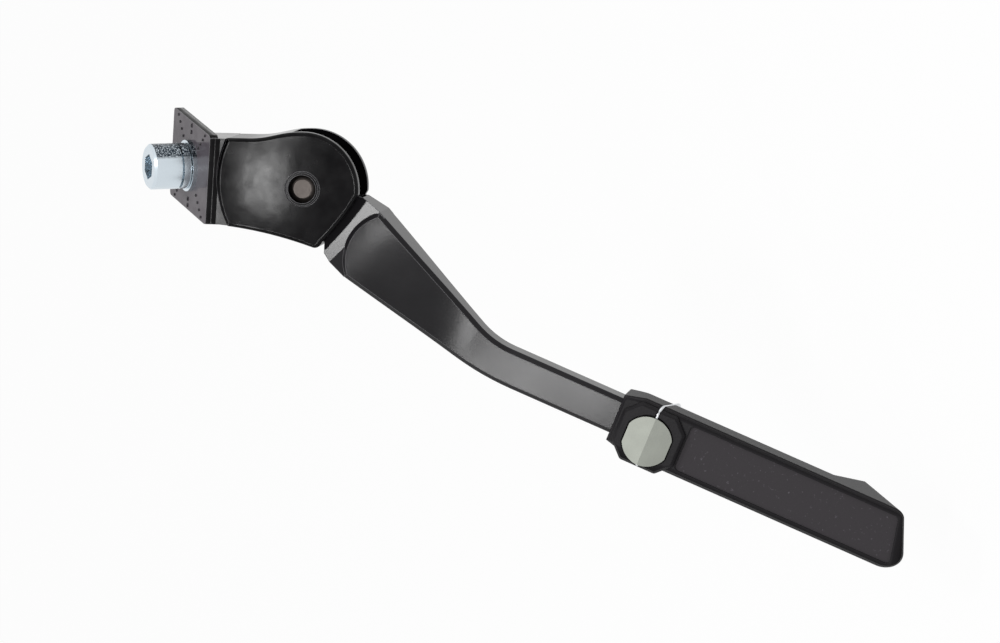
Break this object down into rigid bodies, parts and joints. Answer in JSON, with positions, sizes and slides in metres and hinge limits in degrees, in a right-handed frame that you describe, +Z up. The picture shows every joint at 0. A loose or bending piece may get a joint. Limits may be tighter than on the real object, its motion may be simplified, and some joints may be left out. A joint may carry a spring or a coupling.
{
  "type": "bicycle kickstand",
  "caption": "Side kickstand with a clamp plate and bolt, a cast folding leg and a height-adjustable plastic foot with a rocker button.",
  "frame": {"origin": "on the clamp bolt's axis, at the plate's upper clamping face", "axes": "+Z up along the clamp bolt, +X towards the front wheel, +Y out to the bicycle's left side; the leg is down, as in use"},
  "size_m": [0.1228, 0.1905, 0.2201],
  "materials": {
    "gloss_black_casting": "gloss black coating",
    "satin_black_casting": "satin black coating",
    "bright_zinc": "bright zinc plate",
    "grey_steel": "turned, dark oiled",
    "bronze": "sintered bronze",
    "spring_wire": "bright drawn wire",
    "black_plastic": "fine moulded texture",
    "cast_zinc": "satin cast zinc"
  },
  "bodies": {
    "head": {"bracket": "gloss_black_casting", "mount_bolt": "bright_zinc", "flat_washer": "bright_zinc", "lock_washer": "bright_zinc", "pivot_pin": "grey_steel", "thrust_washers": "bronze", "detent_spring": "spring_wire"},
    "plunger": {"detent_plunger": "grey_steel"},
    "leg": {"leg": "satin_black_casting", "pivot_bush": "bronze"},
    "foot": {"foot": "black_plastic", "wire_clip": "spring_wire", "button_spring": "spring_wire"},
    "button": {"release_button": "cast_zinc"}
  },
  "joints": [
    {"name": "leg_fold", "type": "hinge", "parent": "head", "child": "leg", "pos_m": [0.00018, 0.03055, -0.03337], "axis": [-0.1456, 0.8259, 0.5446], "range_deg": [0, 110]},
    {"name": "plunger_slide", "type": "slide", "parent": "head", "child": "plunger", "axis": [0.0946, -0.5364, 0.8387], "range_m": [-0.0005, 0.0003], "stiffness_N_per_m": 4000, "deforming": ["detent_spring"]},
    {"name": "foot_height", "type": "slide", "parent": "leg", "child": "foot", "axis": [0.2812, 0.5624, -0.7776], "range_m": [0, 0.04]},
    {"name": "button_rock", "type": "hinge", "parent": "foot", "child": "button", "pos_m": [0.0695, 0.11826, -0.12968], "axis": [-0.9485, 0.0399, -0.3142], "range_deg": [-5, 5], "stiffness_Nm_per_rad": 0.05, "deforming": ["button_spring"]}
  ]
}
